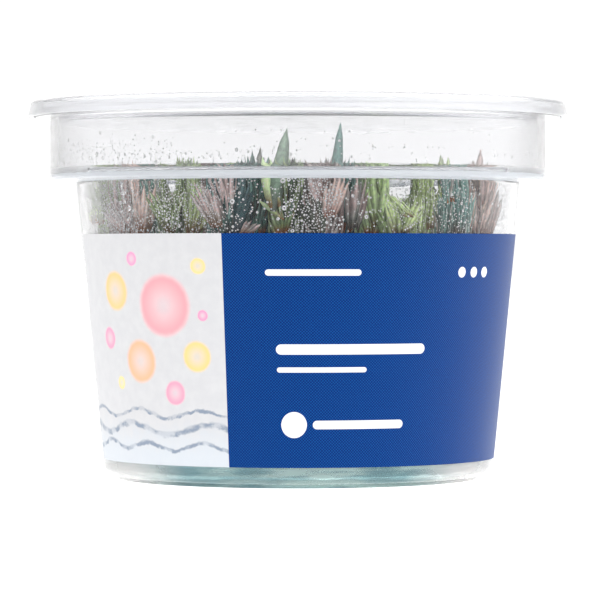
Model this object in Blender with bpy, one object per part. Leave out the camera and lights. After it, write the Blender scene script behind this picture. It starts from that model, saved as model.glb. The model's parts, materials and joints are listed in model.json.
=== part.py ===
"""Rotala shoots growing in clear nutrient jelly, in a lidded clear cup with a wrap label.

Units are metres and +Z is up. The origin is the middle of the foot ring that the cup stands on,
and the front of the label faces -Y.
"""

import math
import random

import bmesh
import bpy
from mathutils import Vector

# Clearance that neighbouring pieces keep
GAP = 0.0003

# Cup, a moulding of clear plastic
TURN_STEPS = 40
WALL_FOOT_RADIUS = 0.0358
WALL_FLARE = 0.0968
WALL_THICKNESS = 0.0013
FOOT_RING_WIDTH = 0.0012
BASE_RECESS = 0.0008
BASE_THICKNESS = 0.0012
BASE_ROUNDING = 0.0022
SHELF_Z = 0.0550
SHELF_THICKNESS = 0.0009
COLLAR_RADIUS = 0.0459
COLLAR_THICKNESS = 0.0015
FLANGE_Z = 0.0666
FLANGE_THICKNESS = 0.0009
FLANGE_RADIUS = 0.0486
LIP_TOP_Z = 0.0684

# Lid, clipped over the cup's flange
LID_RADIUS = 0.0500
LID_TOP_RADIUS = 0.0494
LID_TOP_Z = 0.0695
LID_WALL = 0.0008
SKIRT_FOOT_Z = 0.0667
PANEL_Z = 0.0654

# Label, wrapped round the tapered wall; angles go from the front (-Y) towards +X
LABEL_BOTTOM_Z = 0.0038
LABEL_TOP_Z = 0.0451
LABEL_THICKNESS = 0.0002
LABEL_START = math.radians(-78)
LABEL_END = math.radians(189)
LABEL_STEPS = 40

# Jelly, poured over the cup's floor
JELLY_TOP_Z = 0.0110
SOCKET_DEPTH = 0.0050

# Shoots
SHOOT_COUNT = 36
SHOOT_SIDES = 6
WHORLS = 6
STALK_RADIUS = 0.0008
FIRST_WHORL_Z = 0.0150
LEAF_LIFT = 0.0075
MOST_REACH = 0.0052
BRUSH_SHARE = 0.55
NEAREST_SHOOTS = 0.0108
SPREAD_ROUNDS = 300
STAND_RADIUS = 0.0308
LEAN_OUT = 1.135
BEND = 0.0007
LOW_TOP_Z = 0.0568
HIGH_TOP_Z = 0.0586

# Places and heights, at their tips, of the shoots that stand out above the rest
TALL_TIPS = (
    (-0.0019, -0.0270, 0.0639),
    (0.0076, -0.0262, 0.0650),
    (0.0270, 0.0150, 0.0606),
    (0.0326, 0.0080, 0.0608),
    (-0.0215, -0.0220, 0.0592),
)
# Shoots whose tips lean to the right of where they would stand, or stay low: lean and height
LEANING_TIPS = {
    4: (0.0019, 0.0612),
    24: (0.0033, 0.0608),
    27: (0.0, 0.0525),
}

CLEAR = (0.93, 0.95, 0.96)
MILKY = (0.90, 0.91, 0.93)
PRINT_BLUE = (0.01, 0.07, 0.31)
JELLY_TINT = (0.88, 0.92, 0.86)
LEAF_TINTS = {
    "teal": (0.06, 0.14, 0.11),
    "olive": (0.13, 0.20, 0.05),
    "mauve": (0.24, 0.16, 0.14),
    "lime": (0.24, 0.33, 0.08),
}
# Tint of each shoot, in the order of their numbers
SHOOT_TINTS = """
lime teal olive teal olive lime teal olive olive teal olive teal
mauve teal mauve olive mauve lime teal teal teal olive mauve teal
olive mauve olive lime mauve lime lime teal olive mauve mauve lime
""".split()


def wall_radius(height):
    """Outer radius of the tapered wall at a height."""
    return WALL_FOOT_RADIUS + WALL_FLARE * height


def inner_radius(height):
    """Inner radius of the tapered wall at a height."""
    return wall_radius(height) - WALL_THICKNESS


def arc(centre, radius, start, end, steps):
    """Points of a round stretch of an outline, with the angles in degrees."""
    points = []
    for step in range(steps + 1):
        angle = math.radians(start + (end - start) * step / steps)
        points.append((centre[0] + radius * math.cos(angle), centre[1] + radius * math.sin(angle)))
    return points


def bridge(shape, lower, upper):
    """Joins two rings of vertices, of which one may be a single point."""
    count = max(len(lower), len(upper))
    for side in range(count):
        after = (side + 1) % count
        corners = [lower[side % len(lower)], lower[after % len(lower)]]
        corners += [upper[after % len(upper)], upper[side % len(upper)]]
        shape.faces.new(dict.fromkeys(corners))


def turned(outline, steps):
    """A closed shape turned about Z from an outline that starts and ends on the axis."""
    shape = bmesh.new()
    rings = []
    for radius, height in outline:
        if radius == 0.0:
            rings.append([shape.verts.new((0.0, 0.0, height))])
            continue
        ring = []
        for step in range(steps):
            angle = 2 * math.pi * step / steps
            ring.append(shape.verts.new((radius * math.cos(angle), radius * math.sin(angle), height)))
        rings.append(ring)
    for lower, upper in zip(rings, rings[1:]):
        bridge(shape, lower, upper)
    return shape


def material(name, colour, roughness, transmission=0.0, ior=1.45):
    made = bpy.data.materials.new(name)
    made.use_nodes = True
    shader = made.node_tree.nodes["Principled BSDF"]
    shader.inputs["Base Color"].default_value = (*colour, 1.0)
    shader.inputs["Roughness"].default_value = roughness
    shader.inputs["Metallic"].default_value = 0.0
    shader.inputs["Transmission Weight"].default_value = transmission
    shader.inputs["IOR"].default_value = ior
    return made


def piece(name, shape, finish, smooth_angle=None):
    """Turns a shape into a named object; faces meeting under the angle are shaded as one curve."""
    bmesh.ops.recalc_face_normals(shape, faces=shape.faces)
    mesh = bpy.data.meshes.new(name)
    shape.to_mesh(mesh)
    shape.free()
    mesh.materials.append(finish)
    if smooth_angle is not None:
        mesh.shade_smooth()
        mesh.set_sharp_from_angle(angle=smooth_angle)
    made = bpy.data.objects.new(name, mesh)
    bpy.context.scene.collection.objects.link(made)
    return made


def cup_outside():
    """Outline from the middle of the underside, over the foot ring and up to the lip."""
    draft = math.degrees(math.atan(WALL_FLARE))
    turn_z = BASE_ROUNDING
    turn_radius = wall_radius(turn_z) - BASE_ROUNDING
    shelf_corner = 0.0006
    outline = [(0.0, BASE_RECESS)]
    outline += [(turn_radius - FOOT_RING_WIDTH - BASE_RECESS, BASE_RECESS)]
    outline += [(turn_radius - FOOT_RING_WIDTH, 0.0)]
    outline += arc((turn_radius, turn_z), BASE_ROUNDING, -90, -draft, 4)
    outline += [(wall_radius(SHELF_Z), SHELF_Z)]
    outline += arc((COLLAR_RADIUS - shelf_corner, SHELF_Z + shelf_corner), shelf_corner, -90, 0, 2)
    outline += [(COLLAR_RADIUS, FLANGE_Z)]
    outline += [(FLANGE_RADIUS, FLANGE_Z)]
    outline += [(FLANGE_RADIUS, FLANGE_Z + FLANGE_THICKNESS)]
    outline += [(COLLAR_RADIUS, FLANGE_Z + FLANGE_THICKNESS)]
    outline += [(COLLAR_RADIUS - GAP, LIP_TOP_Z)]
    return outline


def cup_inside():
    """Outline from the lip down the collar, over the shelf and to the middle of the floor."""
    collar = COLLAR_RADIUS - COLLAR_THICKNESS
    shelf = SHELF_Z + SHELF_THICKNESS
    hollow = 0.0015
    edge = 0.0008
    floor = BASE_RECESS + BASE_THICKNESS
    floor_turn = 0.0014
    wall_top = inner_radius(shelf)
    wall_low = inner_radius(floor + floor_turn)
    outline = [(collar, LIP_TOP_Z)]
    outline += arc((collar - hollow, shelf + hollow), hollow, 0, -90, 3)
    outline += arc((wall_top + edge, shelf - edge), edge, 90, 180, 2)
    outline += arc((wall_low - floor_turn, floor + floor_turn), floor_turn, 0, -90, 3)
    outline += [(0.0, floor)]
    return outline


def make_cup():
    finish = material("clear cup plastic", CLEAR, 0.04, transmission=1.0, ior=1.49)
    return piece("cup", turned(cup_outside() + cup_inside(), TURN_STEPS), finish, math.radians(35))


def make_lid():
    """One moulding: a panel let down inside the lip, a ring over the lip and a skirt outside it."""
    plug = COLLAR_RADIUS - COLLAR_THICKNESS - GAP
    ring_under = LIP_TOP_Z + GAP
    skirt_inside = FLANGE_RADIUS + GAP
    top_corner = 0.0005
    panel_corner = 0.0006
    outline = [(0.0, PANEL_Z)]
    outline += arc((plug - panel_corner, PANEL_Z + panel_corner), panel_corner, -90, 0, 2)
    outline += [(plug, ring_under)]
    outline += [(skirt_inside, ring_under)]
    outline += [(skirt_inside, SKIRT_FOOT_Z)]
    outline += [(LID_RADIUS, SKIRT_FOOT_Z)]
    outline += arc((LID_TOP_RADIUS - top_corner, LID_TOP_Z - top_corner), top_corner, 0, 90, 2)
    outline += [(plug - LID_WALL + panel_corner, LID_TOP_Z)]
    outline += [(plug - LID_WALL, LID_TOP_Z - panel_corner)]
    outline += [(plug - LID_WALL, PANEL_Z + LID_WALL)]
    outline += [(0.0, PANEL_Z + LID_WALL)]
    finish = material("milky lid plastic", MILKY, 0.25, transmission=0.85, ior=1.49)
    return piece("lid", turned(outline, TURN_STEPS), finish, math.radians(35))


def make_label():
    """A strip bent round the taper, as a ring of four corners swept from its start to its end."""
    shape = bmesh.new()
    sections = []
    for step in range(LABEL_STEPS + 1):
        angle = LABEL_START + (LABEL_END - LABEL_START) * step / LABEL_STEPS
        outward = Vector((math.sin(angle), -math.cos(angle), 0.0))
        section = []
        for height, depth in (
            (LABEL_BOTTOM_Z, 0.0),
            (LABEL_BOTTOM_Z, LABEL_THICKNESS),
            (LABEL_TOP_Z, LABEL_THICKNESS),
            (LABEL_TOP_Z, 0.0),
        ):
            point = outward * (wall_radius(height) + GAP + depth)
            point.z = height
            section.append(shape.verts.new(point))
        sections.append(section)
    for one, other in zip(sections, sections[1:]):
        bridge(shape, one, other)
    shape.faces.new(sections[0])
    shape.faces.new(sections[-1])
    finish = material("printed label", PRINT_BLUE, 0.4)
    return piece("label", shape, finish, math.radians(35))


def spread_out(places, pinned, nearest, reach):
    """Pushes places apart, inside a circle, until none is nearer to another than asked."""
    for _ in range(SPREAD_ROUNDS):
        for one in range(len(places)):
            for other in range(one + 1, len(places)):
                apart = places[other] - places[one]
                short = nearest - apart.length
                if short <= 0:
                    continue
                push = apart.normalized() * short / 2
                if one >= pinned:
                    places[one] -= push
                if other >= pinned:
                    places[other] += push
        for index in range(pinned, len(places)):
            if places[index].length > reach:
                places[index] *= reach / places[index].length
    return places


def shoot_places():
    """Where each shoot stands on the jelly: the tall ones first, the others spread between them."""
    draw = random.Random(7)
    places = [Vector((x, y)) / LEAN_OUT for x, y, _ in TALL_TIPS]
    while len(places) < SHOOT_COUNT:
        angle = draw.uniform(0, 2 * math.pi)
        radius = STAND_RADIUS * math.sqrt(draw.random())
        places.append(Vector((radius * math.cos(angle), radius * math.sin(angle))))
    return spread_out(places, len(TALL_TIPS), NEAREST_SHOOTS, STAND_RADIUS)


def leaf_room(index, places):
    """How far a shoot's leaves can spread before they meet a neighbour's leaves or the wall."""
    own = places[index]
    nearest = min((own - other).length for at, other in enumerate(places) if at != index)
    to_wall = inner_radius(FIRST_WHORL_Z) - own.length
    return min(MOST_REACH, nearest / 2 - GAP - BEND, to_wall - 2 * GAP - BEND)


def make_socket_cutter(places):
    """A square post for each shoot's foot, all in one helper that cuts the jelly."""
    shape = bmesh.new()
    width = 2 * (STALK_RADIUS + GAP)
    height = 2 * SOCKET_DEPTH
    for place in places:
        post = bmesh.ops.create_cube(shape, size=1.0)["verts"]
        bmesh.ops.scale(shape, vec=(width, width, height), verts=post)
        bmesh.ops.translate(shape, vec=(place.x, place.y, JELLY_TOP_Z), verts=post)
    cutter = piece("socket cutter", shape, material("helper", CLEAR, 0.5))
    cutter.hide_render = True
    cutter.display_type = "WIRE"
    return cutter


def make_jelly(places):
    """The set jelly, creeping a little up the wall, with a socket round each shoot's foot."""
    floor = BASE_RECESS + BASE_THICKNESS + GAP
    turn = 0.0014
    creep = 0.0010
    edge = inner_radius(JELLY_TOP_Z + creep) - GAP
    low = inner_radius(floor + turn) - GAP
    outline = [(0.0, floor), (low - turn, floor), (low, floor + turn)]
    outline += [(edge, JELLY_TOP_Z + creep), (edge - creep, JELLY_TOP_Z), (0.0, JELLY_TOP_Z)]
    finish = material("clear jelly", JELLY_TINT, 0.05, transmission=1.0, ior=1.34)
    jelly = piece("jelly", turned(outline, TURN_STEPS), finish, math.radians(35))
    cut = jelly.modifiers.new("sockets", "BOOLEAN")
    cut.object = make_socket_cutter(places)
    cut.operation = "DIFFERENCE"
    return jelly


class Shoot:
    """The line that one shoot's stalk follows, and how far its leaves spread."""

    def __init__(self, place, lean, tip_z, room, draw):
        self.foot = Vector((place.x, place.y, JELLY_TOP_Z - SOCKET_DEPTH + GAP))
        self.tip = Vector((place.x * LEAN_OUT, place.y * LEAN_OUT, tip_z))
        self.lean = Vector((lean, 0.0, 0.0))
        self.room = room
        self.turn = draw.uniform(0, 2 * math.pi)
        bend_to = draw.uniform(0, 2 * math.pi)
        self.bend = Vector((math.cos(bend_to), math.sin(bend_to), 0.0)) * BEND

    def at(self, height):
        share = (height - self.foot.z) / (self.tip.z - self.foot.z)
        risen = max(0.0, height - JELLY_TOP_Z) / (self.tip.z - JELLY_TOP_Z)
        return self.foot.lerp(self.tip, share) + self.bend * math.sin(math.pi * risen) + self.lean * risen**2


def stalk_ring(shape, shoot, height, radius):
    """A ring of corners round the stalk."""
    centre = shoot.at(height)
    ring = []
    for side in range(SHOOT_SIDES):
        angle = shoot.turn + 2 * math.pi * side / SHOOT_SIDES
        ring.append(shape.verts.new(centre + radius * Vector((math.cos(angle), math.sin(angle), 0.0))))
    return ring


def whorl_ring(shape, shoot, height, reach, lift, first):
    """A ring of corners in which every second one is drawn out and up into a leaf's tip."""
    ring = stalk_ring(shape, shoot, height, STALK_RADIUS)
    for side in range(first, SHOOT_SIDES, 2):
        angle = shoot.turn + 2 * math.pi * side / SHOOT_SIDES
        tip = shoot.at(height + lift)
        ring[side].co = tip + reach * Vector((math.cos(angle), math.sin(angle), 0.0))
    return ring


def make_stem(name, shoot, tint):
    """A stalk with whorls of upright leaves, closed to a brush at its tip."""
    shape = bmesh.new()
    rings = [stalk_ring(shape, shoot, shoot.foot.z, STALK_RADIUS)]
    shape.faces.new(rings[0])
    rings.append(stalk_ring(shape, shoot, FIRST_WHORL_Z - LEAF_LIFT / 2, STALK_RADIUS))
    crown_z = min(shoot.tip.z, HIGH_TOP_Z)
    spacing = (crown_z - LEAF_LIFT - FIRST_WHORL_Z) / (WHORLS - 1)
    for whorl in range(WHORLS):
        height = FIRST_WHORL_Z + spacing * whorl
        last = whorl == WHORLS - 1
        reach = shoot.room * (BRUSH_SHARE if last else 1.0)
        rings.append(whorl_ring(shape, shoot, height, reach, LEAF_LIFT, whorl % 2))
        rings.append(stalk_ring(shape, shoot, height + 2 * STALK_RADIUS, STALK_RADIUS))
    rings.append([shape.verts.new(shoot.at(shoot.tip.z))])
    for lower, upper in zip(rings, rings[1:]):
        bridge(shape, lower, upper)
    return piece(name, shape, material(name + " leaf", tint, 0.45))


def make_stems(places):
    draw = random.Random(21)
    tall = {number: tip[2] for number, tip in enumerate(TALL_TIPS, 1)}
    for number, place in enumerate(places, 1):
        tip_z = draw.uniform(LOW_TOP_Z, HIGH_TOP_Z)
        lean, tip_z = LEANING_TIPS.get(number, (0.0, tall.get(number, tip_z)))
        shoot = Shoot(place, lean, tip_z, leaf_room(number - 1, places), draw)
        make_stem(f"stem_{number:02d}", shoot, LEAF_TINTS[SHOOT_TINTS[number - 1]])


def clear_scene():
    for item in list(bpy.data.objects):
        bpy.data.objects.remove(item, do_unlink=True)


def main():
    clear_scene()
    make_cup()
    make_lid()
    make_label()
    places = shoot_places()
    make_jelly(places)
    make_stems(places)


main()
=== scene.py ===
"""Looks of the rotala in its culture cup: clear plastic, print, jelly, needle leaves and condensation."""
import json
import math
import random

import bpy
import numpy as np
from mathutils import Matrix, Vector


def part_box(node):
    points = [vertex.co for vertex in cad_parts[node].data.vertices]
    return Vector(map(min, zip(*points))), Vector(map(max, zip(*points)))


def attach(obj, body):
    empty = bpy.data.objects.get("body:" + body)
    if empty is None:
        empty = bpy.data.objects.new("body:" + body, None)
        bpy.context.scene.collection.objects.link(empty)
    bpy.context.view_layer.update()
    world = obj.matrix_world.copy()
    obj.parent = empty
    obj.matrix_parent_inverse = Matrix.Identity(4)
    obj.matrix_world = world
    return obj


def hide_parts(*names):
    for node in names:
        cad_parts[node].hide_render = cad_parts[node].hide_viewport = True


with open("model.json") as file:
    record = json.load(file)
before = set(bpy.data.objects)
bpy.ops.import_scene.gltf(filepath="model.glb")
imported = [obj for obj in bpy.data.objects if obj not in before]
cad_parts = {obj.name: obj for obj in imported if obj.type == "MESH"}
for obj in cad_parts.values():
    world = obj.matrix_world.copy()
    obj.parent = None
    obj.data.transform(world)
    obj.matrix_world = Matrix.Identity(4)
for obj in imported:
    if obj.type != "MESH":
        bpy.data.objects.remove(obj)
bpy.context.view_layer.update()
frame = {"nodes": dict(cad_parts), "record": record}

MM = 0.001

# Sizes read from the frame
_, CUP_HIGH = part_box("cup")
LID_LOW, LID_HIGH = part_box("lid")
LABEL_LOW, LABEL_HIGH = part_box("label")
LIP_TOP_Z = CUP_HIGH.z
FLANGE_RADIUS = CUP_HIGH.x
LID_RADIUS = LID_HIGH.x
LID_TOP_Z = LID_HIGH.z
PANEL_Z = LID_LOW.z

# Turned parts: their steps, the flat held beside a rounding, the lid's gap, and edges' roundings
TURN_STEPS = 256
ROUNDING_STEPS = 5
FLAT_HOLD = 0.05 * MM
GAP = 0.3 * MM
THIN_EDGE = 0.2 * MM
SOFT_EDGE = 0.3 * MM

# Cup
WALL_FOOT_RADIUS = 35.8 * MM
WALL_FLARE = 0.0968
WALL_THICKNESS = 1.3 * MM
FOOT_RING_INSET = 2.2 * MM
FOOT_RING_WIDTH = 1.2 * MM
FOOT_RING_ROUNDING = 0.15 * MM
FOOT_STEP = 0.7 * MM
FOOT_STEP_ROUNDING = 0.1 * MM
BASE_RECESS = 0.8 * MM
RECESS_ROUNDING = 0.4 * MM
BASE_THICKNESS = 1.2 * MM
BASE_ROUNDING = 1.8 * MM
FLOOR_Z = BASE_RECESS + BASE_THICKNESS
FLOOR_ROUNDING = 1.4 * MM
SHELF_Z = 55.0 * MM
SHELF_THICKNESS = 0.9 * MM
SHELF_TOP_Z = SHELF_Z + SHELF_THICKNESS
SHELF_FILLET = 1.35 * MM
SHELF_EDGE_ROUNDING = 1.6 * MM
COLLAR_RADIUS = 45.9 * MM
COLLAR_THICKNESS = 1.5 * MM
COLLAR_INSIDE = COLLAR_RADIUS - COLLAR_THICKNESS
COLLAR_FOOT_ROUNDING = 0.6 * MM
FLANGE_Z = 66.6 * MM
FLANGE_THICKNESS = 0.9 * MM

# How far the milky finishes of the shelf reach: across, past which the fillet's ends are painted white as
# painted light, up the collar, and up the fillet as a share of it
SHELF_LIGHT_PAINT_FROM = 36.5 * MM
MILKY_RISE = 0.14 * MM
MILKY_FILLET = 0.3

# Lid
LID_TOP_RADIUS = 49.4 * MM
LID_WALL = 0.8 * MM
LID_ROUNDING = 0.5 * MM
PLUG_RADIUS = COLLAR_INSIDE - GAP
PLUG_FOOT_ROUNDING = 0.6 * MM
PANEL_TOP_Z = PANEL_Z + 0.45 * MM
SKIRT_FOOT_Z = 66.7 * MM

# Label; angles go from the front (-Y) towards +X
LABEL_START = math.radians(-78)
LABEL_END = math.radians(189)
LABEL_FOLD = math.radians(-19.4)
LABEL_COLUMNS = 200
LABEL_LIFT = 0.10 * MM
LABEL_THICKNESS = 0.15 * MM
LABEL_CORNER = 1.6 * MM
SCREEN_MM = 0.526

# Jelly; its density is how much it absorbs, per metre
JELLY_TOP_Z = 11.0 * MM
JELLY_CREEP = 1.0 * MM
JELLY_EDGE_ROUNDING = 1.6 * MM
JELLY_DENSITY = 27.0
WET_OVERLAP = 0.05 * MM

# How strongly clear things bend light, and the tint of the shine of plastic
PLASTIC_IOR = 1.49
JELLY_IOR = 1.34
WATER_IOR = 1.33
PLASTIC_SHINE = (0.25, 0.25, 0.25)

# A shoot's solid: corners of a ring of its stalk, and how far off the stalk its leaf tips are at least
RING_CORNERS = 6
TIP_REACH = 1.5 * MM

# Stalks and root threads
STALK_SIDES = 8
STALK_STEPS = 14
STALK_RADIUS = 0.75 * MM
SIDE_STALK_RADIUS = 0.5 * MM
SIDE_SHOOTS = 3
SIDE_STEPS = 8
SIDE_BEND = 12 * MM
ROOT_THREADS = 6
ROOT_STEPS = 6
ROOT_RADIUS = 0.16 * MM

# Foliage: from UPPER_Z up, whorls are upright and have fans; leaves rooted under RUST_Z may rust; only
# leaves that the solid has, or that are listed, pass TALL_Z; shoots are painted lighter out to CUP_INSIDE,
# painted light from the sides
LEAF_RUN = 7.5 * MM
TIP_LEAF_WIDTH = 0.7 * MM
BRUSH_LENGTH = 7.5 * MM
LOWEST_WHORL_Z = 13 * MM
UPPER_Z = 36.0 * MM
RUST_Z = 45.0 * MM
TALL_Z = 58.8 * MM
FRONT = Vector((0.0, -1.0, 0.0))
FAN_LEAN = 27
FAN_FOOT = 1.2 * MM
FRONT_FAN_FOOT = 1.6 * MM
BLADES_OF_A_FAN = 6
IN_FRONT = 3.2 * MM
# How much lighter the shoots at the sides are painted: painted light from the sides
SIDE_LIGHT_PAINT = 0.8
CUP_INSIDE = 34.0 * MM

# Whorls of a shoot: leaves, their length in millimetres, lean in degrees, sway, rise to the next whorl
UPPER_WHORL = (4, (7.5, 10.5), (8, 18), 0.45, (2.4, 3.4))
LOWER_WHORL = (7, (5.5, 7.5), (26, 42), 0.2, (3.0, 4.0))

# Broad blades of the shoots that stand out, in millimetres: how far the root is beside the tip of
# the stalk, its height, the same of the blade's tip, width; then tone, cast and rust
BLADES = {
    "stem_01": (
        (-2.5, 49.0, 0.0, 63.9, 2.8, 1.0, 0.12, 0.0),
        (-2.7, 49.6, -4.4, 58.7, 1.9, 0.8, 1.0, 0.3),
        (-1.3, 49.8, -3.0, 58.4, 1.5, 0.7, 1.0, 0.2),
        (-0.6, 47.6, -5.0, 51.0, 1.0, 0.9, 1.0, 0.5),
        (-0.8, 48.0, -2.1, 53.0, 0.4, 1.0, 0.7, 0.0),
    ),
    "stem_02": ((-1.3, 50.0, 0.0, 65.0, 2.0, 0.7, 0.3, 0.0),),
    "stem_03": (
        (0.3, 50.0, -1.2, 59.6, 1.5, 0.7, 0.6, 0.0),
        (0.5, 50.0, 0.3, 60.6, 1.6, 0.5, 0.2, 0.0),
        (0.8, 50.0, 1.8, 60.0, 1.5, 0.8, 0.7, 0.0),
    ),
    "stem_04": ((-0.6, 52.0, 0.0, 61.2, 1.6, 0.7, 1.0, 0.0), (-0.9, 52.0, -1.4, 59.4, 1.3, 0.6, 0.8, 0.0)),
    "stem_05": ((0.3, 50.0, 0.0, 59.2, 2.0, 0.1, 0.1, 0.0), (0.6, 50.0, 1.0, 58.8, 1.6, 0.2, 0.3, 0.0)),
    "stem_24": (
        (-0.9, 50.8, 0.0, 61.1, 1.5, 0.25, 0.8, 0.0),
        (-1.2, 50.0, -1.5, 60.2, 1.3, 0.15, 0.6, 0.0),
        (-1.8, 50.0, -2.3, 59.2, 1.1, 0.15, 0.4, 0.0),
        (-1.9, 46.1, -1.2, 56.0, 2.4, 0.45, 0.1, 0.0),
    ),
}

# Fans that show at the front: the shoot, how far the root is beside its stalk in millimetres, the
# root's height, lean and opening in degrees, length, width; then tone, cast and rust
FANS = (
    ("stem_08", -2.4, 47.0, -14, 30, 3.4, 0.8, 0.6, 0.8, 1.0),
    ("stem_15", 2.6, 45.0, 4, 24, 9.5, 1.1, 0.75, 1.0, 0.9),
    ("stem_15", 0.2, 45.0, -36, 12, 6.6, 1.1, 0.5, 0.4, 0.9),
    ("stem_05", 2.0, 45.0, 12, 34, 10.0, 1.1, 0.6, 0.8, 0.3),
    ("stem_05", -1.5, 45.2, -18, 26, 9.0, 1.0, 0.3, 0.3, 0.0),
    ("stem_14", -1.6, 46.0, -24, 20, 9.5, 1.0, 0.8, 1.0, 0.4),
    ("stem_14", 1.0, 44.8, 8, 22, 11.0, 1.2, 0.1, 0.0, 0.0),
    ("stem_14", 2.4, 44.8, 40, 30, 3.8, 0.8, 0.5, 1.0, 0.8),
    ("stem_24", 1.6, 44.8, -14, 26, 4.4, 0.9, 0.45, 0.5, 1.0),
    ("stem_01", -0.6, 44.8, -6, 44, 4.6, 0.9, 0.5, 0.4, 1.0),
    ("stem_35", 0.3, 48.0, 12, 20, 8.4, 1.0, 0.75, 0.9, 0.0),
    ("stem_35", -1.4, 45.0, -16, 30, 8.0, 1.1, 0.15, 0.0, 0.0),
    ("stem_02", 2.2, 46.0, 8, 16, 9.4, 1.1, 0.5, 1.0, 0.0),
    ("stem_36", -1.2, 46.4, -2, 28, 11.0, 1.4, 0.6, 1.0, 0.0),
    ("stem_36", -2.2, 44.8, 4, 34, 4.6, 0.9, 0.45, 0.6, 1.0),
    ("stem_27", 0.9, 48.2, -46, 8, 6.6, 0.5, 0.9, 1.0, 0.0),
    ("stem_27", -0.8, 45.0, 16, 30, 6.4, 1.1, 0.6, 0.8, 0.0),
    ("stem_11", 0.4, 46.0, 6, 28, 9.4, 1.1, 0.6, 0.9, 0.2),
    ("stem_10", -0.6, 50.6, 2, 18, 3.0, 0.9, 0.4, 0.6, 1.0),
    ("stem_10", 0.6, 45.0, -4, 24, 10.4, 1.1, 0.3, 0.1, 0.0),
    ("stem_34", -0.5, 45.2, 2, 34, 10.6, 1.1, 0.75, 1.0, 0.0),
    ("stem_34", 1.4, 44.8, 4, 26, 9.6, 1.1, 0.3, 0.0, 0.0),
)

# Openings between the shoots, seen from the front: middle across and up at the cup's middle, and
# half of their width and height, in millimetres; a leaf is tried against them at shares of its length
WINDOWS = (
    (18.9, 53.9, 2.5, 1.6),
    (25.8, 54.0, 0.7, 1.2),
    (-23.3, 54.3, 1.3, 1.0),
    (-32.5, 52.4, 0.7, 2.6),
)
WINDOW_TRIES = (0.25, 0.4, 0.55, 0.7, 0.85, 1.0)
WINDOW_RETREAT = 0.15
WINDOW_NARROWING = 0.7

# Condensation, in millimetres; the radius is where droplets' ways round the cup are measured
DROPLET_TRIES = 190000
DEW_FOOT = 14
DEW_RISE = 49
DEW_RADIUS = 40.0
LEAST_DROPLET = 0.10
LARGEST_DROPLET = 0.5
FINE_DROPLET = 0.28
DROPLETS_APART = 0.03
DROPLET_SINK = 0.01
DROPLET_SIDES = 12
FINE_SIDES = 6
DOME_HEIGHT = 0.64
DRY_SHELF = (54.8, 57.4)
DEW_TOP = 63

# Bands of droplets: angles from the front in degrees, share of tries, rate at which sizes fall off;
# then the same share and rate all round the bands
DEW_BANDS = (
    (-90, -62, 0.30, 15.0),
    (-62, -46, 0.60, 15.0),
    (-46, -38, 0.20, 28.0),
    (-38, -33, 0.70, 14.0),
    (-33, -20, 0.34, 30.0),
    (-20, -15, 0.12, 12.0),
    (-15, -3, 0.04, 14.0),
    (-3, 10, 0.55, 15.0),
    (10, 18, 0.04, 16.0),
    (18, 25, 0.03, 24.0),
    (25, 40, 0.16, 32.0),
    (40, 52, 0.14, 26.0),
    (52, 90, 0.01, 22.0),
)
DEW_AROUND = (0.08, 16.0)

# How the bands sway on their way up, in degrees and per millimetre; from what share, over how many
# millimetres, they thicken; then the shares of tries elsewhere and where those places end
BAND_SWAY = 1.5
BAND_SWAY_RATE = 1.3
THINNEST_DEW = 0.15
THICKENING = 26
COLLAR_DEW = 0.05
COLLAR_DEW_TOP = 62
COLLAR_DEW_END = -28
STRAY_DEW = 0.005
LABEL_DEW = 0.02
BEHIND_LABEL_TOP = 44

# Floor, in metres
FLOOR_HALF = 6.0

# Soft glows of the studio: where they come from, and how bright they are
GLOWS = (((1.0, -0.3, 0.25), 1.3), ((-1.0, -0.3, 0.25), 0.4))

# Camera: level with the shoots' middle, far off on a long lens
CAMERA_AT = Vector((0.4, -669.0, 41.3)) * MM
CAMERA_TO = Vector((0.4, 0.0, 32.9)) * MM
LENS_MM = 216.0
SENSOR_MM = 36.0


def wall_radius(height):
    return WALL_FOOT_RADIUS + WALL_FLARE * height


def inner_radius(height):
    return wall_radius(height) - WALL_THICKNESS


def heading(angle):
    """The level direction at an angle from +X."""
    return Vector((math.cos(angle), math.sin(angle), 0.0))


def nudged(share, most, draw):
    """A share that is moved a little at random, kept from 0 to 1."""
    return min(1.0, max(0.0, share + draw.uniform(-most, most)))


def circle(radius, height, steps):
    """Points round the axis, at a radius and a height."""
    turns = [2 * math.pi * step / steps for step in range(steps)]
    return [(radius * math.cos(turn), radius * math.sin(turn), height) for turn in turns]


def closed_faces(sides, rings):
    """Faces of a closed form: its foot, the bands between its rings of points, and a point on top."""
    faces = [tuple(reversed(range(sides)))]
    last = (rings - 1) * sides
    for low in range(0, last, sides):
        for side in range(sides):
            after = (side + 1) % sides
            faces.append((low + side, low + after, low + sides + after, low + sides + side))
    faces += [(last + side, last + (side + 1) % sides, last + sides) for side in range(sides)]
    return faces


def moved(faces, first):
    """Faces for points that are counted from a later one."""
    return [tuple(first + corner for corner in face) for face in faces]


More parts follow.
